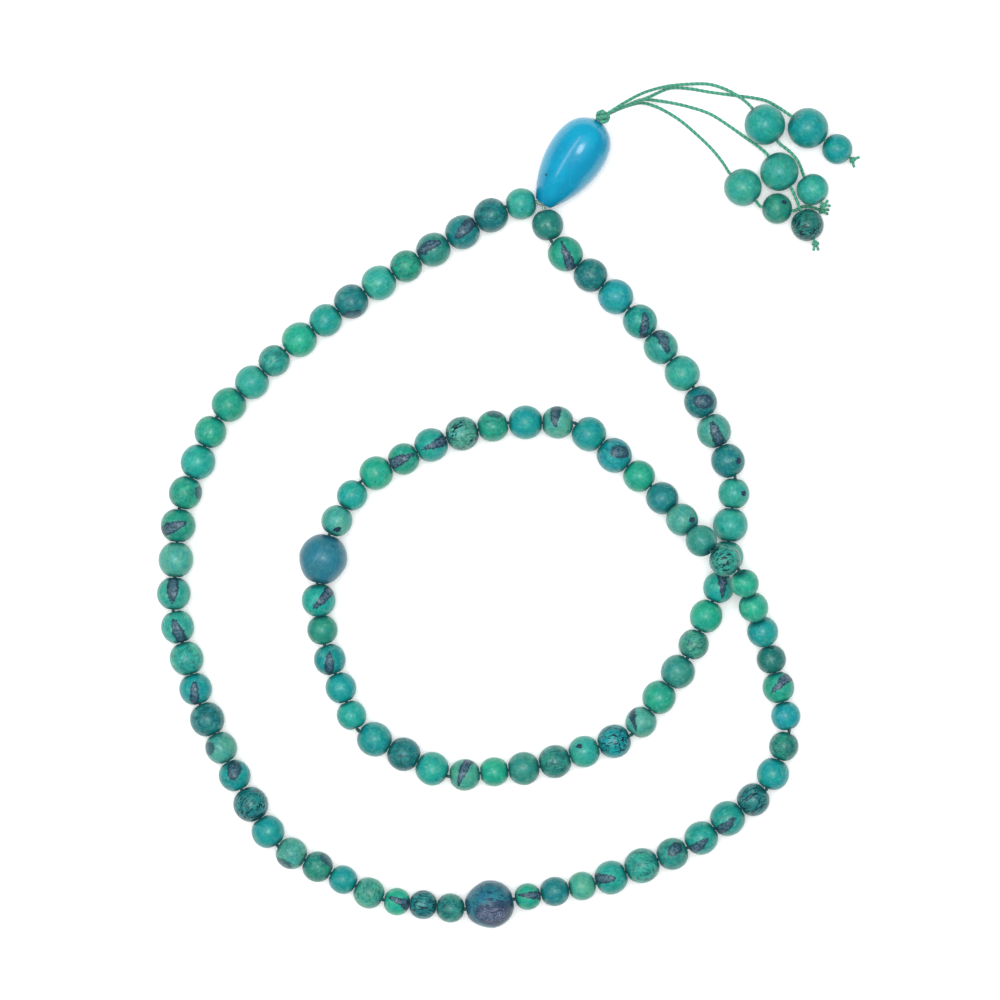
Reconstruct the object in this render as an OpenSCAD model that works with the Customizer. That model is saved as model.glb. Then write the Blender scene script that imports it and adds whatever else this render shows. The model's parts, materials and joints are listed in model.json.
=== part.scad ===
// Misbaha laid flat: 99 seed beads in three sections, two markers, a drop-shaped imame
// and a tassel of four knotted tails. Units are millimetres, +Z is up from the surface.

/* [Seed beads] */
// Bore through every loop seed, wide enough for the two threads
seed_bore = 2; // [1.8:0.1:2.4]
// Free play left between neighbouring seeds
seed_gap = 0.12; // [0.05:0.01:0.3]
// Mean width of a seed against its length along the thread
seed_squat = 1.09; // [1.05:0.01:1.1]
// How much the seed lengths vary within a run
seed_vary = 0.05; // [0:0.01:0.1]
// Widest seed in the loop
seed_max_d = 8.6; // [8:0.1:8.6]

/* [Markers] */
// Width of the first marker, between sections one and two
marker_1_d = 11.9; // [11.9:0.1:12]
// Length of the first marker along the thread
marker_1_l = 11.7; // [11:0.1:11.7]
// Width of the second marker, between sections two and three
marker_2_d = 11.7; // [11.7:0.1:11.8]
// Length of the second marker along the thread
marker_2_l = 11.5; // [11:0.1:11.5]

/* [Imame] */
// Length of the drop from its foot to its blunt top
imame_l = 23.7; // [23.5:0.1:23.7]
// Widest diameter
imame_d = 13.9; // [13.6:0.1:13.9]
// Distance of the widest part from the foot
imame_wide_at = 14.5; // [14:0.1:15]
// Diameter of the flat foot
imame_foot_d = 4.2; // [3.8:0.1:4.2]
// Radius of the rounding on the blunt top
imame_cap_r = 6.5; // [6:0.1:6.6]
// Bore that takes the four thread ends
imame_bore = 2.5; // [2.4:0.1:2.6]
// Tilt of the axis above the surface, in degrees
imame_tilt = 11.7; // [11.7:0.1:12.5]
// Direction of the axis on the surface, from +X, in degrees
imame_turn = 55; // [54:1:56]

/* [Thread] */
// Diameter of the thread
thread_d = 0.8; // [0.6:0.05:0.8]
// Height of each loop thread above or below the middle of the bore
thread_rise = 0.45; // [0.42:0.01:0.5]
// Bore through the tassel beads
tassel_bore = 1.4; // [1.2:0.1:1.6]
// Radius of the knot above the imame
top_knot_r = 1.8; // [1.5:0.1:1.8]
// Radius of the knot at the end of each tail
end_knot_r = 1; // [0.8:0.1:1]

/* [Tassel beads] */
// Widths of the large beads on tails a, b, c and d
large_d = [9.9, 9.9, 9.4, 9.2];
// Lengths of the large beads along their tails
large_l = [9.7, 9.7, 9.2, 9];
// Widths of the small beads on tails a, b, c and d
small_d = [7.4, 7.9, 8, 7.5];
// Lengths of the small beads along their tails
small_l = [7.2, 7.3, 7.7, 7.2];

/* [Hidden] */
$fn = 48;

// Gap between the imame's top and the top knot, and between a small bead and its end knot
knot_gap = [0.15, 0.1];
// Length of each cut end beyond its knot
cut_l = 0.9;
// Least difference between the widest seed and the longest one
seed_bulge = 0.2;
// Half length of the seed that the bends are worked out for, and its bulge beside the bore
bend_seed = 3.9;
bend_bulge = 0.45;
// How much the seed widths vary
seed_d_vary = 0.03;
// Half the distance across the imame's bore between outgoing and returning thread
ends_apart = 0.43;
// Thread that shows below the imame's foot, and thread that stands out of its top
foot_show = 0.7;
top_show = 0.05;

// Each section is a chain of straight runs, and the thread bends only between them.
// A run holds one to four seeds, which turn together on the thread.
runs_1 = [1, 3, 3, 3, 3, 3, 3, 3, 3, 3, 3, 2];
runs_2 = [2, 3, 2, 2, 3, 3, 1, 3, 3, 2, 3, 3, 3];
runs_3 = [3, 4, 2, 3, 3, 3, 3, 3, 3, 3, 2, 1];

// Ends of the runs, from the imame to the first marker
route_1 = [
    [8.7, 73.6, 4.3], [10.2, 66, 4.3], [29, 50, 4.3], [44.5, 31, 4.3], [54.5, 9.5, 4.3],
    [52, -13.5, 4.3], [43, -34, 4.3], [29.5, -52.5, 4.3], [7.5, -60, 4.3],
    [-14.5, -62.4, 4.3], [-36.2, -51.3, 4.3], [-44.2, -30.7, 4.3], [-45.9, -16.2, 6]
];

// From the first marker to the second, over section one at the crossing
route_2 = [
    [-42.9, -4.1, 6], [-35.5, 8.5, 4.3], [-15, 19, 4.3], [0, 22.6, 4.3], [16, 22.6, 4.3],
    [34.4, 7.2, 4.3], [48.3, -8.3, 12.6], [55, -12.6, 13.1], [62.2, -30.8, 4.3],
    [67.5, -51.5, 4.3], [62, -65.5, 4.3], [43, -79.5, 4.3], [21, -88, 4.3], [1.5, -91.6, 5.9]
];

// From the second marker back to the imame
route_3 = [
    [-10.5, -94.1, 5.9], [-30, -92, 4.3], [-55.5, -79, 4.3], [-64, -65.5, 4.3], [-74, -45, 4.3],
    [-80.5, -22.5, 4.3], [-79, 2, 4.3], [-70, 24, 4.3], [-53.5, 40, 4.3], [-34.5, 54, 4.3],
    [-14.5, 66.2, 4.3], [-0.6, 74.4, 4.3], [6.6, 75.7, 4.3]
];

// Middle of the imame's foot, and the unit vectors along it and across it
imame_foot = [8.35, 75.25, 4.4];
imame_dir = [cos(imame_tilt) * cos(imame_turn), cos(imame_tilt) * sin(imame_turn), sin(imame_tilt)];
imame_side = [sin(imame_turn), -cos(imame_turn), 0];

// The top knot sits just off the blunt top, and the tassel swings about its middle
top_knot = imame_foot + (imame_l + knot_gap[0] + top_knot_r) * imame_dir;

// The four tails, from the top knot to the end knots. The first list is the lay from the
// top knot to the large bead; then come the two ends of the straight stretch in that bead,
// the stretch between the beads, the straight stretch in the small bead, and the last part.
tail_lay = [
    [[24.4, 96.5, 10.05], [26.6, 97.5, 9.3], [29, 98.5, 8.2], [33.5, 100.5, 5.3], [39, 103, 2.2],
     [43.5, 103, 1], [48, 102.3, 0.6], [53, 101.6, 0.55], [58, 101, 0.6], [60, 100.6, 1.2],
     [62, 100, 2.2], [64.8, 98.2, 4.5]],
    [[24.2, 96.5, 10.95], [26, 97.7, 10.5], [28, 99, 9.7], [32.5, 101.5, 7], [38, 103.3, 3.7],
     [43, 104, 2], [48.5, 104, 1.5], [53, 102.5, 1.4], [56, 100.5, 2.8]],
    [[24.4, 96.5, 9.15], [26.4, 97.6, 8.3], [28.5, 98.5, 7.3], [32, 100, 4.5], [37.5, 99.8, 1.8],
     [43, 98.8, 0.7], [48.5, 97, 0.55], [53, 94.2, 0.55], [56.5, 91.6, 1.3], [59.5, 89.3, 3.2]],
    [[24.3, 96.4, 8.25], [26.3, 97.4, 7.4], [28.5, 98.3, 6.4], [32, 99.3, 3.6], [35.5, 98.6, 1.8],
     [40.5, 96, 0.65], [44.5, 92.8, 0.55], [49, 88.5, 0.6], [51.5, 85.2, 2.2]]
];
large_run = [
    [[67, 96.5, 5.8], [76, 90.3, 4.3]],
    [[58, 98.5, 4.95], [65, 89.5, 4.95]],
    [[62, 87, 4.7], [68, 78.5, 4.7]],
    [[53, 82.5, 4.6], [59.5, 75.5, 4.6]]
];
tail_mid = [
    [],
    [[67.5, 87.3, 6.3], [69.2, 85.2, 6.9], [70.3, 83.1, 5.2]],
    [[69, 76.3, 4.4]],
    []
];
small_run = [
    [[76, 90.3, 4.3], [81.8, 86.3, 3.3]],
    [[71, 81.5, 3.95], [75, 75.5, 3.95]],
    [[70, 74, 4], [73.5, 66, 4]],
    [[60.5, 74.5, 3.75], [68.5, 73.4, 3.75]]
];
tail_end = [
    [],
    [],
    [],
    [[69.6, 73.9, 3], [70.8, 74.5, 1.9], [72.4, 74.6, 1.15], [74.2, 74.1, 0.95]]
];

// Distance of each tassel bead's middle from the start of its straight stretch
large_at = [5.95, 5.7, 5.2, 4.78];
small_at = [3.65, 3.6, 4.37, 4.07];

// Directions in which the two cut ends of each end knot point
cut_ends = [
    [[1, 0.7, 0.1], [0, -1, -0.2]],
    [[1, 0.2, 0.2], [1, 0.9, 0.1]],
    [[0.7, -1, 0], [-0.5, -1, -0.1]],
    [[1, 0.3, 0], [1, -0.9, 0]]
];

section_names = ["one", "two", "three"];
tail_names = ["a", "b", "c", "d"];
all_runs = [runs_1, runs_2, runs_3];
all_routes = [route_1, route_2, route_3];

function unit(v) = v / norm(v);
function pad2(n) = n < 10 ? str("0", n) : str(n);
function seeds_name(s, g) = str("seeds_", section_names[s], "_", pad2(g + 1));
function turn_at(p, q, r) = acos(min(1, unit(q - p) * unit(r - q)));

// Room a run leaves at a bend, so that the last seed of one run clears the first of the next
function bend_room(half_turn) =
    (bend_seed + seed_gap / 2 + bend_bulge * sin(half_turn)) / cos(half_turn) - bend_seed;

// Turn of the thread at each end of each run, in degrees
function turns(s) = let (r = all_routes[s], n = len(r) - 1)
    [for (i = [0:n]) (i == 0 || i == n) ? 10 : turn_at(r[i - 1], r[i], r[i + 1])];

// Lengths of the seeds in run g of section s, as shares of what the bends leave
function seed_number(s, g) = g == 0 ? 33 * s : all_runs[s][g - 1] + seed_number(s, g - 1);
function share(k) = 1 + seed_vary * sin(137 * k);
function sum_to(v, n) = n == 0 ? 0 : v[n - 1] + sum_to(v, n - 1);
function seed_pitches(s, g) = let (
        r = all_routes[s],
        t = turns(s),
        free = norm(r[g + 1] - r[g]) - bend_room(t[g] / 2) - bend_room(t[g + 1] / 2) + seed_gap,
        k0 = seed_number(s, g),
        w = [for (i = [0:all_runs[s][g] - 1]) share(k0 + i)]
    ) [for (x = w) free * x / sum_to(w, len(w))];

// Points of the whole loop, one thread's height above or below the middle of the bore
function loop_route(rise) = let (
        h = [0, 0, rise],
        across = ends_apart * imame_side,
        top = imame_foot + (imame_l + top_show) * imame_dir,
        low = imame_foot - foot_show * imame_dir
    ) concat(
        [top + across + h, low + across + h],
        [for (r = all_routes) for (p = r) p + h],
        [low - across + h, top - across + h]
    );

// On tail a the two straight stretches share a point, which is passed once
function tail_route(t) = concat(
    tail_lay[t], large_run[t], tail_mid[t],
    large_run[t][1] == small_run[t][0] ? [] : [small_run[t][0]],
    [small_run[t][1]], tail_end[t], [knot_at(t)]
);
function on_run(run, at) = run[0] + at * unit(run[1] - run[0]);
function knot_at(t) = len(tail_end[t]) > 0
    ? tail_end[t][len(tail_end[t]) - 1] + [1.3, -0.4, 0.1]
    : on_run(small_run[t], small_at[t] + small_l[t] / 2 + knot_gap[1] + end_knot_r);

// Turns +Z onto the line from p to q, with the origin at p
module on_line(p, q) {
    d = unit(q - p);
    translate(p)
        rotate([0, acos(d.z), atan2(d.y, d.x)])
            children();
}

// A seed: round, a little wider than long, bored from end to end
module bored_bead(l, d, bore) {
    rotate_extrude()
        difference() {
            translate([(d - l) / 2, 0])
                circle(d = l);
            translate([bore / 2 - d, -l])
                square([d, 2 * l]);
        }
}

// Round cord along a list of points, mitred at each bend
module cord(path, d) {
    n = 8;
    k = len(path);
    fwd = [for (i = [0:k - 1]) unit(path[min(i + 1, k - 1)] - path[min(i, k - 2)])];
    back = [for (i = [0:k - 1]) unit(path[max(i, 1)] - path[max(i - 1, 0)])];
    mid = [for (i = [0:k - 1]) unit(fwd[i] + back[i])];
    out = [for (i = [0:k - 1]) unit(cross([0, 0, 1], mid[i]))];
    wide = [for (i = [0:k - 1]) 1 / (mid[i] * fwd[i])];
    points = [for (i = [0:k - 1]) for (j = [0:n - 1])
        path[i] + d / 2 * (wide[i] * cos(360 * j / n) * out[i]
            + sin(360 * j / n) * cross(mid[i], out[i]))];
    walls = [for (i = [0:k - 2]) for (j = [0:n - 1]) for (h = [0, 1])
        let (a = n * i + j, b = n * i + (j + 1) % n)
            h == 0 ? [a, b, b + n] : [a, b + n, a + n]];
    start = [for (j = [1:n - 2]) [0, j + 1, j]];
    finish = [for (j = [1:n - 2]) [n * (k - 1), n * (k - 1) + j, n * (k - 1) + j + 1]];
    polyhedron(points = points, faces = [for (f = concat(start, walls, finish)) [f[0], f[2], f[1]]]);
}

module loop_thread_upper() {
    color("gainsboro")
        cord(loop_route(thread_rise), thread_d);
}

module loop_thread_lower() {
    color("gainsboro")
        cord(loop_route(-thread_rise), thread_d);
}

// Radius of the arc that is upright at the widest part and meets a smaller circle smoothly
function flank_r(r, small_r, away) = (r * r + away * away - small_r * small_r) / (2 * (r - small_r));

// The part of a circle on the drop's outline that lies between two heights
module outline_part(x, y, r, low, high) {
    intersection() {
        translate([x, y])
            circle(r = r);
        translate([imame_bore / 2, low])
            square([imame_d, high - low]);
    }
}

// Drop shape: flat foot, long flank, widest part, and a rounded top, bored from end to end
module imame() {
    r = imame_d / 2;
    drop = r - imame_foot_d / 2;
    low_r = (imame_wide_at * imame_wide_at + drop * drop) / (2 * drop);
    cap_at = imame_l - imame_cap_r;
    high_r = flank_r(r, imame_cap_r, cap_at - imame_wide_at);
    meet = cap_at + imame_cap_r * (cap_at - imame_wide_at) / (high_r - imame_cap_r);
    color("deepskyblue")
        on_line(imame_foot, imame_foot + imame_dir)
            rotate_extrude()
                union() {
                    outline_part(r - low_r, imame_wide_at, low_r, 0, imame_wide_at);
                    outline_part(r - high_r, imame_wide_at, high_r, imame_wide_at, meet);
                    outline_part(0, cap_at, imame_cap_r, meet, imame_l);
                }
}

// Larger bead between two sections
module marker(p, q, l, d) {
    on_line((p + q) / 2, q)
        bored_bead(l, d, seed_bore);
}

module marker_one() {
    color("steelblue")
        marker(route_1[len(runs_1)], route_2[0], marker_1_l, marker_1_d);
}

module marker_two() {
    color("darkslateblue")
        marker(route_2[len(runs_2)], route_3[0], marker_2_l, marker_2_d);
}

// The seeds of one run
module seeds(s, g) {
    p = all_routes[s][g];
    q = all_routes[s][g + 1];
    pitch = seed_pitches(s, g);
    first = bend_room(turns(s)[g] / 2) - seed_gap / 2;
    k0 = seed_number(s, g);
    color((s + g) % 2 == 0 ? "mediumseagreen" : "lightseagreen")
        on_line(p, q)
            for (i = [0:len(pitch) - 1]) {
                l = min(pitch[i] - seed_gap, seed_max_d - seed_bulge);
                wide = l * (seed_squat + seed_d_vary * sin(71 * (k0 + i)));
                d = min(seed_max_d, wide);
                translate([0, 0, first + sum_to(pitch, i) + pitch[i] / 2])
                    bored_bead(l, d, seed_bore);
            }
}

// Three turns of thread around a round core
module knot(r) {
    core = 0.88;
    step = 0.42;
    sphere(r = core * r);
    for (h = [-step * r, 0, step * r])
        translate([0, 0, h])
            rotate_extrude()
                translate([sqrt(pow(r - thread_d / 2, 2) - h * h), 0])
                    circle(d = thread_d);
}

module top_knot() {
    color("mediumaquamarine")
        on_line(top_knot, top_knot + imame_dir)
            knot(top_knot_r);
}

module tail(t) {
    color("mediumaquamarine")
        cord(tail_route(t), thread_d);
}

module large_bead(t) {
    color("lightseagreen")
        on_line(on_run(large_run[t], large_at[t]), large_run[t][1] + unit(large_run[t][1] - large_run[t][0]))
            bored_bead(large_l[t], large_d[t], tassel_bore);
}

module small_bead(t) {
    color("seagreen")
        on_line(on_run(small_run[t], small_at[t]), small_run[t][1] + unit(small_run[t][1] - small_run[t][0]))
            bored_bead(small_l[t], small_d[t], tassel_bore);
}

// Knot at the end of a tail, with its two cut ends
module end_knot(t) {
    c = knot_at(t);
    color("mediumaquamarine") {
        on_line(c, c + unit(small_run[t][1] - small_run[t][0]))
            knot(end_knot_r);
        for (v = cut_ends[t])
            on_line(c, c + v)
                cylinder(d = thread_d, h = end_knot_r + cut_l);
    }
}

loop_thread_upper();
loop_thread_lower();
imame();
marker_one();
marker_two();
for (s = [0:2])
    for (g = [0:len(all_runs[s]) - 1])
        seeds(s, g);
top_knot();
for (t = [0:3]) {
    tail(t);
    large_bead(t);
    small_bead(t);
    end_knot(t);
}
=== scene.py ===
"""A misbaha laid flat: 99 dyed seed beads, two markers, a blue imame and a tassel of four knotted tails.

Lengths in the helper functions are millimetres unless a name says otherwise; MM turns them into metres.
"""

import json
import math

import bpy
import numpy as np
from mathutils import Matrix, Vector


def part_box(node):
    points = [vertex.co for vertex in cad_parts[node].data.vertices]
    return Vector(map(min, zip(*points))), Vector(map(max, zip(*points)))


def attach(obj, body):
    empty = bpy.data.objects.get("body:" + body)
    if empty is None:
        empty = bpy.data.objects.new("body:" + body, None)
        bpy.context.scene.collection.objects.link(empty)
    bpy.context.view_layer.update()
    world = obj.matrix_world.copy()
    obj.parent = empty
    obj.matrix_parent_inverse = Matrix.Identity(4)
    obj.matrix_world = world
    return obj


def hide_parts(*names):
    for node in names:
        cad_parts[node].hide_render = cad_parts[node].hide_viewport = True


MM = 0.001
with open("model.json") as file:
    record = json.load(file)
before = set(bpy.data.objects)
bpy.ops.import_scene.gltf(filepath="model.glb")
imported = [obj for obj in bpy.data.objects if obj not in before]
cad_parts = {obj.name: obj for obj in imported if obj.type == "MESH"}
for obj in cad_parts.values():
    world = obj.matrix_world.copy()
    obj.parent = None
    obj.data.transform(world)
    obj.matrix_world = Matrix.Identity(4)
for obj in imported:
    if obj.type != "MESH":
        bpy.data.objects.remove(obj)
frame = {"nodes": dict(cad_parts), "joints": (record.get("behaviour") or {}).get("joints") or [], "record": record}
NODES = frame["nodes"]
JOINTS = {j["child"]: j for j in frame["joints"]}
BODY_OF = {n: b for b, ns in frame["record"]["behaviour"]["bodies"].items() for n in ns}
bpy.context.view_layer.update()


# ---------------------------------------------------------------- camera
LENS, SENSOR, SPAN, LOOK_AT = 150, 36, 0.240, Vector((-0.002, 0.004, 0.004))
cam_data = bpy.data.cameras.new("camera")
cam_data.lens = LENS
cam_data.sensor_width = SENSOR
cam_data.clip_end = 10
camera = bpy.data.objects.new("camera", cam_data)
bpy.context.scene.collection.objects.link(camera)
camera.location = LOOK_AT + Vector((0, 0, SPAN * LENS / SENSOR))
bpy.context.scene.camera = camera


# ---------------------------------------------------------------- mesh helpers
def srgb(r, g, b):
    """A screen colour, 0 to 255, as linear RGBA."""
    def lin(c):
        c /= 255
        return c / 12.92 if c <= 0.04045 else ((c + 0.055) / 1.055) ** 2.4
    return (lin(r), lin(g), lin(b), 1)


def mesh_object(name, points_m, faces, material, smooth=True):
    mesh = bpy.data.meshes.new(name)
    mesh.from_pydata([tuple(p) for p in points_m], [], faces)
    mesh.materials.append(material)
    mesh.update()
    if smooth:
        mesh.polygons.foreach_set("use_smooth", [True] * len(mesh.polygons))
    obj = bpy.data.objects.new(name, mesh)
    bpy.context.scene.collection.objects.link(obj)
    return obj


def grid_faces(rings, around, close_rings=False):
    """Quads of a tube of rings; close_rings joins the last ring to the first."""
    out = []
    for i in range(rings if close_rings else rings - 1):
        a, b = i * around, (i + 1) % rings * around
        for j in range(around):
            k = (j + 1) % around
            out.append((a + j, a + k, b + k, b + j))
    return out


def unit(v):
    v = np.asarray(v, float)
    return v / np.linalg.norm(v)


def axes_on(direction):
    """Columns x, y, z of a frame with z along the direction and x as near to up as it can be."""
    z = unit(direction)
    up = np.array((0, 0, 1), float)
    if abs(z @ up) > 0.95:
        up = np.array((0, 1, 0), float)
    x = unit(up - (up @ z) * z)
    return np.stack((x, np.cross(z, x), z), 1)


# ---------------------------------------------------------------- thread
def smooth_line(points, step, straight=()):
    """A Catmull-Rom curve through the points, sampled about every step. Each pair of point
    numbers in straight gets two extra points between, so that the curve is straight there."""
    pts = []
    for i, p in enumerate(points):
        pts.append(np.array(p, float))
        if i in straight:
            q = np.array(points[i + 1], float)
            pts += [pts[-1] + t * (q - pts[-1]) for t in (0.12, 0.88)]
    pts = [2 * pts[0] - pts[1]] + pts + [2 * pts[-1] - pts[-2]]
    out = []
    for a, b, c, d in zip(pts, pts[1:], pts[2:], pts[3:]):
        ka, kb, kc = (max(np.linalg.norm(q - p), 1e-6) ** 0.5 for p, q in ((a, b), (b, c), (c, d)))
        t0, t1, t2, t3 = 0, ka, ka + kb, ka + kb + kc
        n = max(1, round(np.linalg.norm(c - b) / step))
        for t in t1 + (t2 - t1) * np.arange(n) / n:
            u = ((t1 - t) * a + (t - t0) * b) / (t1 - t0)
            v = ((t2 - t) * b + (t - t1) * c) / (t2 - t1)
            w = ((t3 - t) * c + (t - t2) * d) / (t3 - t2)
            uv = ((t2 - t) * u + (t - t0) * v) / (t2 - t0)
            vw = ((t3 - t) * v + (t - t1) * w) / (t3 - t1)
            out.append(((t2 - t) * uv + (t - t1) * vw) / (t2 - t1))
    return np.array(out + [pts[-2]])


def cornered_line(points, step, cut):
    """Straight stretches with a short round corner at each point."""
    pts = [np.array(p, float) for p in points]
    out = [pts[0]]
    for a, b, c in zip(pts, pts[1:], pts[2:]):
        r = min(cut, 0.45 * np.linalg.norm(b - a), 0.45 * np.linalg.norm(c - b))
        p, q = b + r * unit(a - b), b + r * unit(c - b)
        out += [(1 - t) ** 2 * p + 2 * t * (1 - t) * b + t * t * q for t in np.linspace(0, 1, 5)]
    out.append(pts[-1])
    fine = [out[0]]
    for p, q in zip(out, out[1:]):
        n = max(1, math.ceil(np.linalg.norm(q - p) / step))
        fine += [p + (q - p) * k / n for k in range(1, n + 1)]
    return np.array(fine)


# Plies in every thread, and the depth of the grooves between them as a share of the radius
PLIES, GROOVE = 2, 0.3


def twisted(name, line, diameter, material, pitch=2.5, around=16, closed=False):
    """A twisted cord along a line of points, as one closed tube, and its length. Its points carry
    "ply", from 0 in the grooves to 1 on the plies."""
    n = len(line)
    if closed:
        tangent = np.roll(line, -1, 0) - np.roll(line, 1, 0)
    else:
        tangent = np.gradient(line, axis=0)
    tangent /= np.linalg.norm(tangent, axis=1)[:, None]
    side = axes_on(tangent[0])[:, 0]
    sides = []
    for t in tangent:
        side = unit(side - (side @ t) * t)
        sides.append(side)
    sides = np.array(sides)
    if closed:
        back = sides[-1] - (sides[-1] @ tangent[0]) * tangent[0]
        slip = math.atan2(np.cross(sides[0], unit(back)) @ tangent[0], sides[0] @ unit(back))
    else:
        slip = 0.0
    along = np.concatenate(([0], np.cumsum(np.linalg.norm(np.diff(line, axis=0), axis=1))))
    turns = max(1, round(along[-1] / pitch))
    points, ply = [], []
    for i in range(n):
        base = 2 * math.pi * turns * along[i] / along[-1] - slip * along[i] / along[-1]
        other = np.cross(tangent[i], sides[i])
        for j in range(around):
            a = 2 * math.pi * j / around
            lobe = abs(math.cos(PLIES * (a + base if closed else a - base) / 2))
            r = diameter / 2 * (1 - GROOVE + GROOVE * math.sqrt(lobe))
            ply.append(lobe)
            points.append((line[i] + r * (math.cos(a) * sides[i] + math.sin(a) * other)) * MM)
    faces = grid_faces(n, around, closed)
    if not closed:
        points += [line[0] * MM, line[-1] * MM]
        ply += [1, 1]
        faces += [(len(points) - 2, (j + 1) % around, j) for j in range(around)]
        end = (n - 1) * around
        faces += [(len(points) - 1, end + j, end + (j + 1) % around) for j in range(around)]
    obj = mesh_object(name, points, faces, material)
    obj.data.attributes.new("ply", "FLOAT", "POINT").data.foreach_set("value", ply)
    return obj, along[-1]


# ---------------------------------------------------------------- node helpers
class Shader:
    """A material's node tree, with one call for each node."""

    def __init__(self, name):
        self.material = bpy.data.materials.new(name)
        self.material.use_nodes = True
        self.tree = self.material.node_tree
        self.tree.nodes.clear()

    def node(self, kind, inputs=None, out=0, **settings):
        """The output of a new node; each input is a number, a colour or another node's output."""
        n = self.tree.nodes.new(kind)
        for key, value in settings.items():
            setattr(n, key, value)
        for key, value in (inputs or {}).items():
            if isinstance(value, bpy.types.NodeSocket):
                self.tree.links.new(value, n.inputs[key])
            else:
                n.inputs[key].default_value = value
        return n.outputs[out] if len(n.outputs) else None

    def math(self, operation, a, b=0.0):
        return self.node("ShaderNodeMath", {0: a, 1: b}, operation=operation)

    def vector(self, operation, a, b=(0, 0, 0), scale=None, out=0):
        inputs = {0: a, 1: b}
        if scale is not None:
            inputs = {0: a, "Scale": scale}
        return self.node("ShaderNodeVectorMath", inputs, out, operation=operation)

    def dot(self, a, b):
        return self.vector("DOT_PRODUCT", a, b, out=1)

    def length(self, a):
        return self.vector("LENGTH", a, out=1)

    def mix(self, factor, a, b, blend="MIX"):
        return self.node(
            "ShaderNodeMix", {0: factor, 6: a, 7: b}, 2, data_type="RGBA", blend_type=blend)

    def grey(self, value):
        return self.node("ShaderNodeCombineColor", {0: value, 1: value, 2: value})

    def step(self, value, low, high, to_low=0.0, to_high=1.0):
        """Smooth step from to_low to to_high as value goes from low to high."""
        return self.node(
            "ShaderNodeMapRange",
            {0: value, 1: low, 2: high, 3: to_low, 4: to_high},
            interpolation_type="SMOOTHSTEP",
        )

    def noise(self, at, scale, detail=3.0, rough=0.5, distortion=0.0, out=0):
        return self.node(
            "ShaderNodeTexNoise",
            {"Vector": at, "Scale": scale, "Detail": detail, "Roughness": rough,
             "Distortion": distortion}, out)

    def attribute(self, name, out="Fac", of="OBJECT"):
        n = self.tree.nodes.new("ShaderNodeAttribute")
        n.attribute_type, n.attribute_name = of, name
        return n.outputs[out]

    def bump(self, height, strength, distance):
        inputs = {"Height": height, "Strength": strength, "Distance": distance}
        return self.node("ShaderNodeBump", inputs)

    def local_mm(self):
        """The point in the object's own axes, in millimetres."""
        at = self.node("ShaderNodeTexCoord", out="Object")
        return self.vector("SCALE", at, scale=1000.0)

    def finish(self, **inputs):
        names = {k.replace("_", " "): v for k, v in inputs.items()}
        bsdf = self.node("ShaderNodeBsdfPrincipled", names)
        self.node("ShaderNodeOutputMaterial", {"Surface": bsdf})
        return self.material


# ---------------------------------------------------------------- materials
# Roughness of the shiniest spots of a seed
SEED_GLOSS = 0.36


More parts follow.
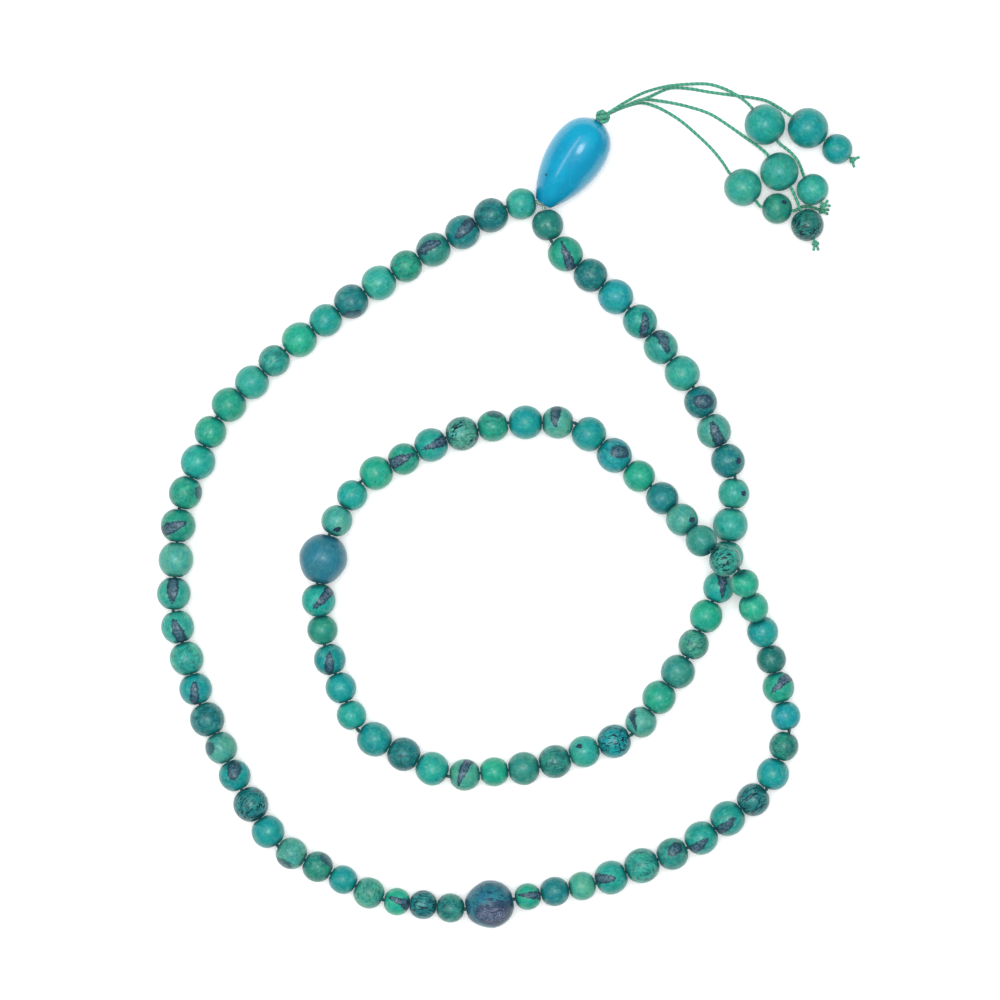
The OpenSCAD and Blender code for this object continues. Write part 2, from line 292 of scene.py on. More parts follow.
def seed_material(name, deep, pale, navy, slate):
    """Dyed seed: cloudy dye, fine fibres from bore to bore, painted shade at the bores where the seeds meet, a
    dark patch with a darker rim, and dark streaks. Each bead's numbers come from its custom properties."""
    s = Shader(name)
    at = s.local_mm()
    axis = s.attribute("axis", "Vector")
    apart = s.vector("ADD", at, s.attribute("grain", "Vector"))
    toward = s.vector("NORMALIZE", at)
    z = s.dot(at, axis)

    cloud = s.noise(apart, 0.33, 4, 0.55, 0.6)
    stretched = s.vector("SUBTRACT", s.vector("SCALE", apart, scale=2.6),
                         s.vector("SCALE", axis, scale=s.math("MULTIPLY", z, 2.15)))
    fibre = s.noise(stretched, 1.0, 5, 0.62, 0.3)
    speck = s.noise(apart, 3.2, 3, 0.6)

    dye = s.attribute("dye", "Color")
    warm = s.mix(1.0, dye, (1.35, 1.04, 0.93, 1), "MULTIPLY")
    cool = s.mix(1.0, dye, (0.6, 0.97, 1.06, 1), "MULTIPLY")
    colour = s.mix(s.step(cloud, 0.3, 0.7), warm, cool)
    # darker clouds, stronger on a mottled seed
    mottle = s.attribute("mottle")
    dark_cloud = s.step(s.noise(apart, 0.6, 6, 0.75, 0.8), 0.44, 0.62)
    shade = s.math("MULTIPLY", dark_cloud, s.math("ADD", s.math("MULTIPLY", mottle, 0.7), 0.14))
    colour = s.mix(shade, colour, deep)
    pale_cloud = s.step(s.noise(apart, 0.8, 5, 0.65, 0.4), 0.48, 0.72, 0.0, 0.26)
    colour = s.mix(pale_cloud, colour, pale)
    # fibres
    line = s.step(fibre, 0.36, 0.64, 0.84, 1.08)
    grain = s.mix(1.0, colour, s.grey(line), "MULTIPLY")
    # painted shade round the bores, where each seed meets its neighbour
    end = s.math("DIVIDE", s.math("ABSOLUTE", z), s.attribute("size"))
    painted_end_shade = s.step(s.math("ADD", end, s.math("MULTIPLY", cloud, 0.16)), 0.8, 1.06, 0.0, 0.85)
    colour = s.mix(painted_end_shade, grain, deep)

    # the dark patch, wider at one end and ragged at the edge
    centre = s.attribute("patch_at", "Vector")
    along = s.attribute("patch_along", "Vector")
    size = s.attribute("patch_size")
    stretch = s.attribute("patch_stretch")
    off = s.vector("SUBTRACT", toward, centre)
    sunk = s.math("MULTIPLY", s.dot(off, centre), stretch)
    off = s.vector("SUBTRACT", off, s.vector("SCALE", centre, scale=sunk))
    for scale, amount in ((0.6, 0.3), (1.8, 0.34)):
        wobble = s.vector("SUBTRACT", s.noise(apart, scale, 4, 0.6, out=1), (0.5, 0.5, 0.5))
        off = s.vector("ADD", off, s.vector("SCALE", wobble, scale=amount))
    lengthways = s.dot(off, along)
    wide = s.math("MULTIPLY", size, s.step(s.math("DIVIDE", lengthways, size), -3.4, 2.6, 0.4, 1.25))
    squeezed = s.math("MULTIPLY", lengthways, stretch)
    off = s.vector("SUBTRACT", off, s.vector("SCALE", along, scale=squeezed))
    away = s.math("DIVIDE", s.length(off), wide)
    inside = s.step(away, 0.9, 1.04, 1.0, 0.0)
    spot = s.step(size, 0.22, 0.26, 1.0, 0.0)
    rim = s.math("MULTIPLY", s.math("MAXIMUM", s.step(away, 0.5, 0.8), spot), inside)
    patch_grain = s.step(s.noise(apart, 1.7, 5, 0.75, 1.0), 0.42, 0.58)
    patch = s.mix(patch_grain, navy, slate)
    patch = s.mix(s.math("MULTIPLY", rim, 0.9), patch, navy)
    strength = s.math("MULTIPLY", inside, s.attribute("patch_dark"))
    colour = s.mix(strength, colour, patch)

    # thin dark streaks, which run the way the patch does
    squeezed = s.math("MULTIPLY", s.dot(apart, along), 0.82)
    drawn = s.vector("SUBTRACT", apart, s.vector("SCALE", along, scale=squeezed))
    thin = s.math("ABSOLUTE", s.math("SUBTRACT", s.noise(drawn, 0.85, 2, 0.5, 1.2), 0.5))
    streak = s.math("MULTIPLY", s.step(thin, 0.022, 0.05, 1.0, 0.0), s.step(cloud, 0.34, 0.44))
    streak = s.math("MULTIPLY", streak, s.attribute("streaks"))
    colour = s.mix(streak, colour, tuple(c * 0.5 for c in navy[:3]) + (1,))

    # small dark pits
    pits = s.node("ShaderNodeTexVoronoi", {"Vector": apart, "Scale": 0.42}, feature="F1")
    pit = s.math("MULTIPLY", s.step(pits, 0.07, 0.13, 0.6, 0.0), s.step(cloud, 0.5, 0.56))
    colour = s.mix(pit, colour, navy)

    rough = s.step(speck, 0.3, 0.7, SEED_GLOSS, SEED_GLOSS + 0.12)
    rough = s.math("ADD", rough, s.math("MULTIPLY", strength, 0.06))
    height = s.math("ADD", s.math("MULTIPLY", fibre, 0.6), s.math("MULTIPLY", speck, 0.4))
    height = s.math("SUBTRACT", height, s.math("MULTIPLY", rim, 0.5))
    height = s.math("SUBTRACT", height, s.math("MULTIPLY", pit, 1.2))
    return s.finish(
        Base_Color=colour, Roughness=rough, Normal=s.bump(height, 0.3, 0.0001),
        Coat_Weight=0.28, Coat_Roughness=0.22, Specular_IOR_Level=0.3,
        Sheen_Weight=0.07, Sheen_Roughness=0.35, Sheen_Tint=(0.5, 1, 0.97, 1),
    )


def imame_material(axes):
    """Glossy blue, deeper towards the foot, with one dark fleck; axes holds the drop's own axes."""
    s = Shader("imame_blue")
    at = s.local_mm()
    way = tuple(float(x) for x in axes[:, 2])
    h = s.dot(at, way)
    swirl_at = s.vector("SUBTRACT", at, s.vector("SCALE", way, scale=s.math("MULTIPLY", h, 0.65)))
    swirl = s.noise(swirl_at, 0.16, 3, 0.5, 0.8)
    haze = s.noise(at, 0.5, 4, 0.6, 0.4)
    colour = s.mix(s.step(swirl, 0.35, 0.65), srgb(0, 132, 170), srgb(0, 148, 182))
    colour = s.mix(s.math("MULTIPLY", s.step(haze, 0.5, 0.75), 0.2), colour, srgb(34, 160, 188))
    colour = s.mix(s.step(h, 3.5, 0.0, 0.0, 0.4), colour, srgb(0, 104, 150))
    spot = tuple(float(x) for x in axes @ np.array((4.6, -3.1, 6.6)))
    fleck = s.length(s.vector("SUBTRACT", at, spot))
    colour = s.mix(s.step(fleck, 0.2, 0.42, 0.9, 0.0), colour, srgb(10, 30, 40))
    pits = s.node("ShaderNodeTexVoronoi", {"Vector": at, "Scale": 0.5}, feature="F1")
    colour = s.mix(s.step(pits, 0.03, 0.09, 0.35, 0.0), colour, srgb(0, 94, 130))
    rough = s.step(haze, 0.3, 0.75, 0.22, 0.3)
    return s.finish(
        Base_Color=colour, Roughness=rough, Normal=s.bump(haze, 0.08, 0.0001),
        Coat_Weight=0.4, Coat_Roughness=0.16, Specular_IOR_Level=0.35,
    )


def thread_material(name, light, dark, fuzz, pale=None):
    """Waxed, twisted thread with fine fibres, and painted shade in the grooves between the plies. pale gives a
    middle in metres, a reach in millimetres and two lighter colours, the thread's own, which show near that
    middle; elsewhere the thread keeps the two colours given, which on the loop thread are dark painted shade."""
    s = Shader(name)
    at = s.local_mm()
    fine = s.noise(at, 5.5, 4, 0.65, 0.5)
    wide = s.noise(at, 0.35, 3, 0.5)
    # near the middle the thread's own pale colours; elsewhere the given colours, which on the loop thread are
    # painted shade
    if pale:
        middle, reach, pale_light, pale_dark = pale
        away = s.length(s.vector("SUBTRACT", at, tuple(float(x) * 1000 for x in middle)))
        near = s.step(away, reach * 0.7, reach, 1.0, 0.0)
        light, dark = s.mix(near, light, pale_light), s.mix(near, dark, pale_dark)
    colour = s.mix(s.step(fine, 0.35, 0.68), dark, light)
    colour = s.mix(s.math("MULTIPLY", s.step(wide, 0.45, 0.7), 0.3), colour, dark)
    # painted shade in the grooves between the plies
    groove_shade = s.step(s.attribute("ply", of="GEOMETRY"), 0.15, 0.6, 0.42, 1.0)
    colour = s.mix(1.0, colour, s.grey(groove_shade), "MULTIPLY")
    height = s.noise(at, 9.0, 3, 0.6)
    return s.finish(
        Base_Color=colour, Roughness=s.step(fine, 0.3, 0.7, 0.42, 0.62),
        Normal=s.bump(height, 0.5, 0.00008), Sheen_Weight=fuzz, Sheen_Roughness=0.4,
        Specular_IOR_Level=0.4,
    )


imame_way = np.array(JOINTS["imame"]["axis"], float)
IMAME_AXES = axes_on(imame_way)
IMAME_FOOT, IMAME_L = np.array((8.35, 75.25, 4.4)), 23.7
SEED = seed_material("dyed_seed", srgb(0, 86, 88), srgb(124, 190, 168), srgb(14, 46, 66),
                     srgb(78, 108, 124))
MARKER = seed_material("dyed_marker", srgb(14, 66, 92), srgb(92, 132, 150), srgb(22, 44, 74),
                       srgb(118, 114, 138))
IMAME = imame_material(IMAME_AXES)
TAIL_THREAD = thread_material("tassel_thread", srgb(88, 174, 146), srgb(50, 136, 108), 0.15)
# The loop thread's dark greens are painted shade, as in the creases between the seeds; near the imame's foot it
# shows its own pale colours
SHADED_LOOP_THREAD = thread_material(
    "loop_thread", srgb(16, 86, 84), srgb(6, 60, 60), 0.05,
    (IMAME_FOOT * MM, 3.6, srgb(168, 190, 178), srgb(112, 146, 134)))


# ---------------------------------------------------------------- the CAD's beads
def hinge_of(body):
    """The middle of a body's hinge, in millimetres, and its axis."""
    return np.array(JOINTS[body]["pos_m"]) / MM, unit(JOINTS[body]["axis"])


def island_spans(node, origin, axis):
    """Low and high along the axis, and the radius, of each separate solid in a CAD node."""
    mesh = NODES[node].data
    co = np.zeros(len(mesh.vertices) * 3)
    mesh.vertices.foreach_get("co", co)
    co = co.reshape(-1, 3) / MM - origin
    along = co @ axis
    radial = np.linalg.norm(co - along[:, None] * axis, axis=1)
    mesh.calc_loop_triangles()
    tri = np.zeros(len(mesh.loop_triangles) * 3, int)
    mesh.loop_triangles.foreach_get("vertices", tri)
    spans = along[tri.reshape(-1, 3)]
    low, high = spans.min(1), spans.max(1)
    order = np.argsort(low)
    low, high = low[order], high[order]
    top = np.maximum.accumulate(high)
    cuts = [0] + [i for i in range(1, len(low)) if low[i] > top[i - 1] + 0.01] + [len(low)]
    out = []
    for a, b in zip(cuts, cuts[1:]):
        lo, hi = low[a], top[b - 1]
        out.append((lo, hi, radial[(along >= lo - 1e-6) & (along <= hi + 1e-6)].max()))
    return out


# ---------------------------------------------------------------- cords
# The routes, point by point, from the top knot to the end knot. The numbers in STRAIGHT are the
# points after which the thread runs straight through a bead.
TAILS = {
    "a": [(24.4, 96.5, 10.05), (26.6, 97.5, 9.3), (29, 98.5, 8.2), (33.5, 100.5, 5.3),
          (39, 103, 2.2), (43.5, 103, 1), (48, 102.3, 0.6), (53, 101.6, 0.55), (58, 101, 0.6),
          (60, 100.6, 1.2), (62, 100, 2.2), (64.8, 98.2, 4.5), (67, 96.5, 5.8),
          (76, 90.3, 4.3), (81.8, 86.3, 3.3)],
    "b": [(24.2, 96.5, 10.95), (26, 97.7, 10.5), (28, 99, 9.7), (32.5, 101.5, 7),
          (38, 103.3, 3.7), (43, 104, 2), (48.5, 104, 1.5), (53, 102.5, 1.4), (56, 100.5, 2.8),
          (58, 98.5, 4.95), (65, 89.5, 4.95), (67.5, 87.3, 6.3), (69.2, 85.2, 6.9),
          (70.3, 83.1, 5.2), (71, 81.5, 3.95), (75, 75.5, 3.95)],
    "c": [(24.4, 96.5, 9.15), (26.4, 97.6, 8.3), (28.5, 98.5, 7.3), (32, 100, 4.5),
          (37.5, 99.8, 1.8), (43, 98.8, 0.7), (48.5, 97, 0.55), (53, 94.2, 0.55),
          (56.5, 91.6, 1.3), (59.5, 89.3, 3.2), (62, 87, 4.7), (68, 78.5, 4.7),
          (69, 76.3, 4.4), (70, 74, 4), (73.5, 66, 4)],
    "d": [(24.3, 96.4, 8.25), (26.3, 97.4, 7.4), (28.5, 98.3, 6.4), (32, 99.3, 3.6),
          (35.5, 98.6, 1.8), (40.5, 96, 0.65), (44.5, 92.8, 0.55), (49, 88.5, 0.6),
          (51.5, 85.2, 2.2), (53, 82.5, 4.6), (59.5, 75.5, 4.6), (60.5, 74.5, 3.75),
          (68.5, 73.4, 3.75), (69.6, 73.9, 3), (70.8, 74.5, 1.9), (72.4, 74.6, 1.15),
          (74.2, 74.1, 0.95)],
}
STRAIGHT = {"a": (12, 13), "b": (9, 14), "c": (10, 13), "d": (9, 11)}
# How far the top knot sits towards the imame from its CAD place
KNOT_SEATED = 0.4
# How far each tail goes on into the top knot
TAIL_IN_KNOT = 0.7
# How far the middle of the end knot lies beyond the small bead's far end, and tail d's step to it
KNOT_BEYOND, KNOT_STEP_D = 1.1, np.array((1.3, -0.4, 0.1))
# A route's last point is left out unless it stops at least this far short of the end knot's middle
KNOT_CLEAR = 0.4
THREAD_D = 0.8
# The twist's pitch in the knots and their cut ends
KNOT_PITCH = 1.6
TAIL_BODY = {"a": "swing_tail_a", "b": "swing_tail_b", "c": "tassel", "d": "tassel"}


def knot_line(p, q, big, small, flat, samples):
    """A closed (p, q) torus knot about z."""
    t = np.linspace(0, 2 * math.pi, samples, endpoint=False)
    r = big + small * np.cos(q * t)
    return np.stack((r * np.cos(p * t), r * np.sin(p * t), flat * np.sin(q * t)), 1)


def knot(name, line, middle, axes, diameter, body, node):
    """A knot of tassel thread round its middle, in the place of a CAD node."""
    line = line @ np.asarray(axes).T + middle
    obj, _ = twisted(name, line, diameter, TAIL_THREAD, KNOT_PITCH, around=12, closed=True)
    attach(obj, body)
    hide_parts(node)
    return obj


# The directions in which each end knot's two cut ends point, the ends' thickness, their reach from
# the knot's middle, and how much they curl
CUT_ENDS = {
    "a": ((1, 0.7, 0.1), (0, -1, -0.2)), "b": ((1, 0.2, 0.2), (1, 0.9, 0.1)),
    "c": ((0.7, -1, 0), (-0.5, -1, -0.1)), "d": ((1, 0.3, 0), (1, -0.9, 0)),
}
CUT_D, CUT_REACH, CUT_CURL = 0.7, np.linspace(0.2, 1.75, 9), 0.12
# The lowest that the middle of a cut end comes to the table
CUT_LOWEST = 0.42
low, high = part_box("top_knot")
top_middle = np.array((low + high) / 2) / MM - KNOT_SEATED * imame_way
knot("knot_top", knot_line(3, 4, big=0.8, small=0.5, flat=1.0, samples=260), top_middle, IMAME_AXES,
     diameter=1.06, body="tassel", node="top_knot")
for t, route in TAILS.items():
    if t == "d":
        middle = np.array(route[-1]) + KNOT_STEP_D
    else:
        origin, axis = hinge_of("small_bead_" + t)
        middle = origin + (island_spans("small_bead_" + t, origin, axis)[0][1] + KNOT_BEYOND) * axis
        route = route[:-1] if (np.array(route[-1]) - middle) @ axis > -KNOT_CLEAR else route
    # the tail starts inside the top knot
    start = np.array(route[0]) + TAIL_IN_KNOT * unit(top_middle - np.array(route[0]))
    points = [tuple(start)] + route + [tuple(middle)]
    line = smooth_line(points, step=0.2, straight=[k + 1 for k in STRAIGHT[t]])
    tail, long = twisted("cord_" + t, line, THREAD_D, TAIL_THREAD)
    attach(tail, TAIL_BODY[t])
    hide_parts("tail_" + t)
    way = unit(line[-1] - line[-8])
    pieces = [knot("knot_" + t, knot_line(2, 3, big=0.42, small=0.24, flat=0.36, samples=120), middle,
                   axes_on(way), diameter=0.64, body=TAIL_BODY[t], node="end_knot_" + t)]
    for k, d in enumerate(CUT_ENDS[t]):
        d = unit(d)
        end = np.array([middle + s * d + CUT_CURL * s * s * np.cross(d, (0, 0, 1)) * (1 - 2 * k)
                        for s in CUT_REACH])
        end[:, 2] = np.maximum(end[:, 2], CUT_LOWEST)
        stub, _ = twisted(f"cut_end_{t}_{k + 1}", end, CUT_D, TAIL_THREAD, KNOT_PITCH, around=12)
        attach(stub, TAIL_BODY[t])
        pieces.append(stub)


# ---------------------------------------------------------------- loop threads
# Each thread's height off the middle of the bore, half the distance between its ends inside the
# imame, its length below the foot, and how far down the bore it stops, clear of the top knot
RISE, ENDS_APART, FOOT_SHOW, TOP_HIDDEN = 0.45, 0.43, 0.7, 0.9
ROUTES = (
    [(8.7, 73.6, 4.3), (10.2, 66, 4.3), (29, 50, 4.3), (44.5, 31, 4.3), (54.5, 9.5, 4.3),
     (52, -13.5, 4.3), (43, -34, 4.3), (29.5, -52.5, 4.3), (7.5, -60, 4.3), (-14.5, -62.4, 4.3),
     (-36.2, -51.3, 4.3), (-44.2, -30.7, 4.3), (-45.9, -16.2, 6)],
    [(-42.9, -4.1, 6), (-35.5, 8.5, 4.3), (-15, 19, 4.3), (0, 22.6, 4.3), (16, 22.6, 4.3),
     (34.4, 7.2, 4.3), (48.3, -8.3, 12.6), (55, -12.6, 13.1), (62.2, -30.8, 4.3),
     (67.5, -51.5, 4.3), (62, -65.5, 4.3), (43, -79.5, 4.3), (21, -88, 4.3), (1.5, -91.6, 5.9)],
    [(-10.5, -94.1, 5.9), (-30, -92, 4.3), (-55.5, -79, 4.3), (-64, -65.5, 4.3), (-74, -45, 4.3),
     (-80.5, -22.5, 4.3), (-79, 2, 4.3), (-70, 24, 4.3), (-53.5, 40, 4.3), (-34.5, 54, 4.3),
     (-14.5, 66.2, 4.3), (-0.6, 74.4, 4.3), (6.6, 75.7, 4.3)],
)
side = unit((imame_way[1], -imame_way[0], 0))
for name, rise in (("loop_thread_upper", RISE), ("loop_thread_lower", -RISE)):
    h = np.array((0, 0, rise))
    top = IMAME_FOOT + (IMAME_L - TOP_HIDDEN) * imame_way
    low = IMAME_FOOT - FOOT_SHOW * imame_way
    route = [top + ENDS_APART * side + h, low + ENDS_APART * side + h]
    route += [np.array(p) + h for r in ROUTES for p in r]
    route += [low - ENDS_APART * side + h, top - ENDS_APART * side + h]
    line = cornered_line(route, step=0.4, cut=0.9)
    thread, _ = twisted(name.replace("loop_thread", "loop"), line, THREAD_D, SHADED_LOOP_THREAD, around=12)
    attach(thread, "threads")
    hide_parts(name)


# ---------------------------------------------------------------- beads
def bead_mesh(name, axes, half_l, r_max, bore, seed, material, lumpy, egg=0.0, full=(0, 0), around=44):
    """A bored bead round its middle, inside the solid of revolution of that length and radius,
    flattened at either end by the share in full, so that it meets its neighbour on a small flat.
    A positive egg narrows the end that the third axis points to, a negative one the other end."""
    rng = np.random.default_rng(seed)
    off = r_max - half_l
    phase = rng.uniform(0, 2 * math.pi, 6)
    lean = rng.uniform(-0.5, 0.5)
    # outline from bore to bore, as (radius, height): the outside, a rounded lip, and the bore
    outer = []
    for a in np.linspace(-90, 90, 33):
        z, r = half_l * math.sin(math.radians(a)), half_l * math.cos(math.radians(a)) + off
        z = max(-half_l, min(half_l, z * (1 + full[int(a > 0)])))
        if r > bore * 1.12:
            outer.append((r, z))
    top, bottom = outer[-1][1], outer[0][1]
    inner = [(bore, k * top * 0.9) for k in (0.6, 0, -0.6)]
    profile = outer + [(bore * 1.05, 0.992 * top), (bore, 0.965 * top)] + inner
    profile += [(bore, 0.965 * bottom), (bore * 1.05, 0.992 * bottom)]
    points = []
    for r, z in profile:
        out = r > bore * 1.1
        for j in range(around):
            a = 2 * math.pi * j / around
            k = 1.0
            if out:
                u = z / half_l
                body = 1 - abs(u) ** 3
                dent = (0.55 * (1 + math.sin(2 * a + phase[0]))
                        + 0.3 * (1 + math.sin(3 * a + phase[1] + u))
                        + 0.35 * (1 + math.sin(a + phase[2] + 2.2 * u))
                        + 0.2 * (1 + math.sin(5 * a + phase[3] - 2 * u)))
                taper = 0.5 * (1 + lean * u)
                k = (1 - lumpy * body * (dent * 0.75 + taper)
                     - abs(egg) * body * max(0, math.copysign(u, egg * u)))
            points.append(axes @ np.array((r * k * math.cos(a), r * k * math.sin(a), z)) * MM)
    faces = grid_faces(len(profile), around, True)
    return mesh_object(name, points, faces, material)


# Every seed of the loop, in order from the imame: a dye letter, a pattern letter, where the
# pattern sits on the top (0 middle, then 1 to 8 clockwise from +Y), and the direction in which
# it runs and widens, as a hexadecimal number of 22.5 degree steps from +X.
LOOKS = (
    "d.00 gb0d nm00 a.00 kq3c jq25 j.00 np00 pq0d ns30 js30 "
    "j.00 j.00 kb34 b.00 ym00 s.00 g.00 pv75 af51 js80 sm00 "
    "s.00 b.00 yb73 k.00 nm00 t.00 k.00 t.00 tq0c e.00 kb32",
    "ps50 k.00 b.00 gb09 kb31 pf01 gc10 t.00 pq84 t.00 ap20 "
    "b.00 n.00 ps30 s.00 jf01 b.00 b.00 t.00 dm00 gb12 a.00 "
    "em00 t.00 nf42 kq5a kq5a sp12 jm00 kq78 y.00 n.00 gb10",
    "sm00 nf00 bb2f yl33 t.00 ec20 pc60 t.00 nf02 tp14 pc70 "
    "nm00 tq0c jl22 jq0d jq04 p.00 gq09 gc30 k.00 g.00 g.00 "
    "j.00 jl12 b.00 k.00 nc50 j.00 gl11 sq19 nq02 nm00 j.00",
)
TASSEL_LOOKS = {"large": {"a": "t.00", "b": "k.00", "c": "j.00", "d": "j.00"},
                "small": {"a": "t.00", "b": "j.00", "c": "df51", "d": "es20"}}
# Dye letter: the dye's colour
DYES = {
    "b": (34, 158, 128), "g": (34, 147, 121), "j": (54, 154, 138), "k": (28, 149, 137),
    "t": (8, 140, 138), "a": (14, 146, 152), "n": (22, 117, 120), "d": (32, 116, 106),
    "s": (50, 133, 121), "p": (86, 154, 138), "y": (80, 153, 130), "e": (38, 131, 112),
    "m": (46, 112, 130), "u": (44, 116, 134),
}
# Shares of red, green and blue that a dye keeps, because the highlights add them back
DYE_TRIM = (0.576, 0.9408, 0.96)
# Pattern letter: mottling, patch size, stretch and strength, its distance out from the
# middle of the top, and the streaks
PATTERNS = {
    ".": (0.15, 0.2, 0.0, 0.0, 0.0, 0.0), "m": (1.0, 0.2, 0.0, 0.0, 0.0, 0.4),
    "s": (0.2, 0.2, 0.2, 1.0, 0.55, 0.0), "p": (0.35, 0.46, 0.36, 0.9, 0.3, 0.3),
    "q": (0.25, 0.31, 0.72, 0.95, 0.28, 0.2), "b": (0.2, 0.28, 0.87, 1.0, 0.22, 0.0),
    "v": (0.3, 0.2, 0.87, 0.95, 0.5, 0.0), "c": (0.25, 0.5, 0.2, 0.75, 0.86, 0.3),
    "f": (0.5, 0.2, 0.0, 0.0, 0.5, 1.0), "l": (0.4, 0.2, 0.0, 0.0, 0.5, 0.4),
    "w": (0.6, 0.6, 0.4, 0.8, 0.42, 0.7),
}


def look(obj, code, axis, size, number):
    """Writes a bead's colour and pattern to its custom properties, for the material to read."""
    rng = np.random.default_rng(1000 + number)
    mottle, patch, stretch, dark, out, streaks = PATTERNS[code[1]]
    clock = (int(code[2]) - 1) * math.pi / 4
    out = 0.0 if code[2] == "0" else out
    at = np.array((out * math.sin(clock), out * math.cos(clock), math.sqrt(1 - out * out)))
    turn = int(code[3], 16) * math.pi / 8
    along = np.array((math.cos(turn), math.sin(turn), 0))
    along = unit(along - (along @ at) * at)
    light = rng.uniform(0.94, 1.06)
    obj["dye"] = [c * light * k for c, k in zip(srgb(*DYES[code[0]])[:3], DYE_TRIM)]
    obj["streaks"] = float(streaks)
    obj["mottle"] = float(mottle)
    obj["size"] = float(size)
    obj["axis"] = [float(x) for x in axis]
    obj["patch_at"] = [float(x) for x in at]
    obj["patch_along"] = [float(x) for x in along]
    obj["patch_size"] = float(patch * rng.uniform(0.9, 1.1))
    obj["patch_stretch"] = float(stretch)
    obj["patch_dark"] = float(dark)
    obj["grain"] = [float(x) for x in rng.uniform(-60, 60, 3)]


def bead(name, node, origin, axis, half_l, radius, bore, code, number, material, lumpy, egg=0.0,
         full=(0, 0)):
    """A bead with its look, riding its body in the place of its CAD node."""
    obj = bead_mesh(name, axes_on(axis), half_l, radius, bore, number, material, lumpy, egg, full)
    obj.location = origin * MM
    look(obj, code, axis, half_l, number)
    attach(obj, BODY_OF[node])
    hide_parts(node)
    return obj


SECTIONS = ("one", "two", "three")
# Radii of the loop seeds' bores and of the tassel beads' bores
LOOP_BORE, TASSEL_BORE = 0.92, 0.7
# Each end of a seed comes this much nearer to its neighbour than in the CAD, in millimetres
NEARLY_TOUCH = 0.04
# How much each seed is flattened where it meets the next one of its own run, and at the run's ends
IN_RUN, RUN_END = 0.035, 0.012
for s, section in enumerate(SECTIONS):
    codes = LOOKS[s].split()
    done = 0
    for node in sorted(n for n in NODES if n.startswith(f"seeds_{section}_")):
        origin, axis = hinge_of(BODY_OF[node])
        spans = island_spans(node, origin, axis)
        for k, (low, high, radius) in enumerate(spans):
            full = (RUN_END if k == 0 and done else IN_RUN,
                    RUN_END if k == len(spans) - 1 and done < 32 else IN_RUN)
            bead(f"{node}_{'abcd'[k]}", node, origin + (low + high) / 2 * axis, axis,
                 (high - low) / 2 + NEARLY_TOUCH, radius, LOOP_BORE, codes[done], 33 * s + done, SEED,
                 lumpy=0.02, full=full)
            done += 1
    assert done == 33, (section, done)

for number, (kind, tail) in enumerate((k, t) for k in ("large", "small") for t in "abcd"):
    node = f"{kind}_bead_{tail}"
    origin, axis = hinge_of(node)
    low, high, radius = island_spans(node, origin, axis)[0]
    bead(f"{kind}_seed_{tail}", node, origin + (low + high) / 2 * axis, axis, (high - low) / 2, radius,
         TASSEL_BORE, TASSEL_LOOKS[kind][tail], 200 + number, SEED, lumpy=0.012)

for number, (node, code, egg) in enumerate((("marker_one", "m.00", -0.12), ("marker_two", "uw50", 0.14))):
    origin, axis = hinge_of(node)
    low, high, radius = island_spans(node, origin, axis)[0]
    bead(f"{node}_seed", node, origin + (low + high) / 2 * axis, axis, (high - low) / 2 + NEARLY_TOUCH,
         radius, LOOP_BORE, code, 300 + number, MARKER, lumpy=0.012, egg=egg,
         full=(IN_RUN, IN_RUN))


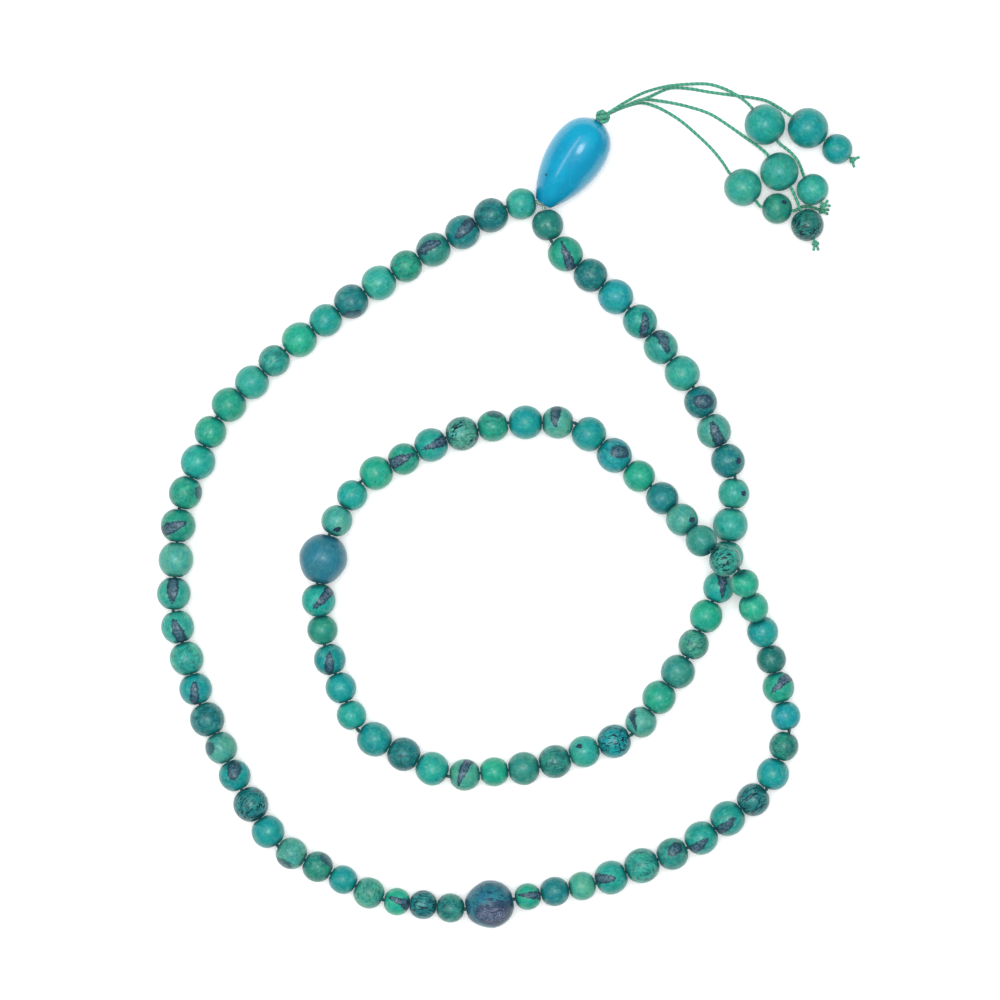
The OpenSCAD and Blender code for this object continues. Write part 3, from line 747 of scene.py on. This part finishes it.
# ---------------------------------------------------------------- imame
def imame():
    """The drop, from its foot, just inside its CAD outline, with rounded edges."""
    mesh = NODES["imame"].data
    co = np.array([v.co for v in mesh.vertices]) / MM - IMAME_FOOT
    along = co @ imame_way
    radial = np.linalg.norm(co - along[:, None] * imame_way, axis=1)
    ring = (along > 0.05) & (along < IMAME_L) & (radial > 1.3)
    heights = np.concatenate((np.linspace(0.12, 4, 14), np.linspace(4.6, IMAME_L - 0.1, 44)))
    known = sorted({(round(a, 2), round(r, 3)) for a, r in zip(along[ring], radial[ring])})
    ka, kr = np.array(known).T
    outer = [(np.interp(h, ka, kr) - 0.02, h) for h in heights]
    outer = [(r, h) for r, h in outer if r > 1.35]
    foot = [(outer[0][0] - 0.28, 0.02), (outer[0][0] - 0.1, 0.045)]
    bore, around = 1.25, 72
    profile = [(bore, 0.3), (1.34, 0.06), (1.5, 0.02)] + foot + outer + [(1.27, outer[-1][1] - 0.08)]
    profile += [(bore, outer[-1][1] - 0.5), (bore, 12), (bore, 3)]
    points = []
    for r, z in profile:
        for j in range(around):
            a = 2 * math.pi * j / around
            k = 1 - (0.004 * (1 + math.sin(2 * a + 1)) + 0.003 * (1 + math.sin(3 * a + 0.2 * z))) * (r > 2)
            points.append(IMAME_AXES @ np.array((r * k * math.cos(a), r * k * math.sin(a), z)) * MM)
    obj = mesh_object("imame_drop", points, grid_faces(len(profile), around, True), IMAME)
    obj.location = IMAME_FOOT * MM
    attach(obj, "imame")
    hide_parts("imame")


imame()


# ---------------------------------------------------------------- floor and lights
floor_shader = Shader("floor")
floor_at = floor_shader.local_mm()
floor_tone = floor_shader.noise(floor_at, 0.02, 2, 0.5)
FLOOR = floor_shader.finish(
    Base_Color=floor_shader.mix(floor_tone, (0.9, 0.9, 0.9, 1), (0.93, 0.93, 0.93, 1)), Roughness=0.9,
    Emission_Color=(1, 1, 1, 1), Emission_Strength=0.1)
floor = mesh_object("floor", [(-3, -3, 0), (3, -3, 0), (3, 3, 0), (-3, 3, 0)], [(0, 1, 2, 3)], FLOOR,
                    smooth=False)
floor.location.z = -0.00002


def area_light(name, at, look_at, size, power, long=None, along=(0, 1, 0)):
    """A round light, or a strip of that width and length that runs along a direction."""
    data = bpy.data.lights.new(name, "AREA")
    data.shape, data.size, data.energy = "DISK", size, power
    obj = bpy.data.objects.new(name, data)
    bpy.context.scene.collection.objects.link(obj)
    z = unit(np.array(at) - np.array(look_at))
    if long:
        data.shape, data.size_y = "RECTANGLE", long
    y = unit(np.array(along) - (np.array(along) @ z) * z)
    m = np.eye(4)
    m[:3, :3], m[:3, 3] = np.stack((np.cross(y, z), y, z), 1), at
    obj.matrix_world = Matrix(m.tolist())
    return obj


softbox = area_light("softbox", (0, 0.1, 1.5), (0, 0, 0), size=2.0, power=25)
softbox.visible_glossy = False
area_light("key", (0, 0.02, 1.5), (0, 0, 0), size=0.55, power=8)
area_light("strip", (-0.6, 0.1, 1.0), (0.015, 0.085, 0.01), size=0.1, power=3.4, long=1.5,
           along=(0.57, 0.82, 0))
world = bpy.data.worlds.new("world")
world.use_nodes = True
world.node_tree.nodes["Background"].inputs[0].default_value = (1, 1, 1, 1)
world.node_tree.nodes["Background"].inputs[1].default_value = 0.22
bpy.context.scene.world = world
bpy.context.scene.view_settings.view_transform = "Standard"
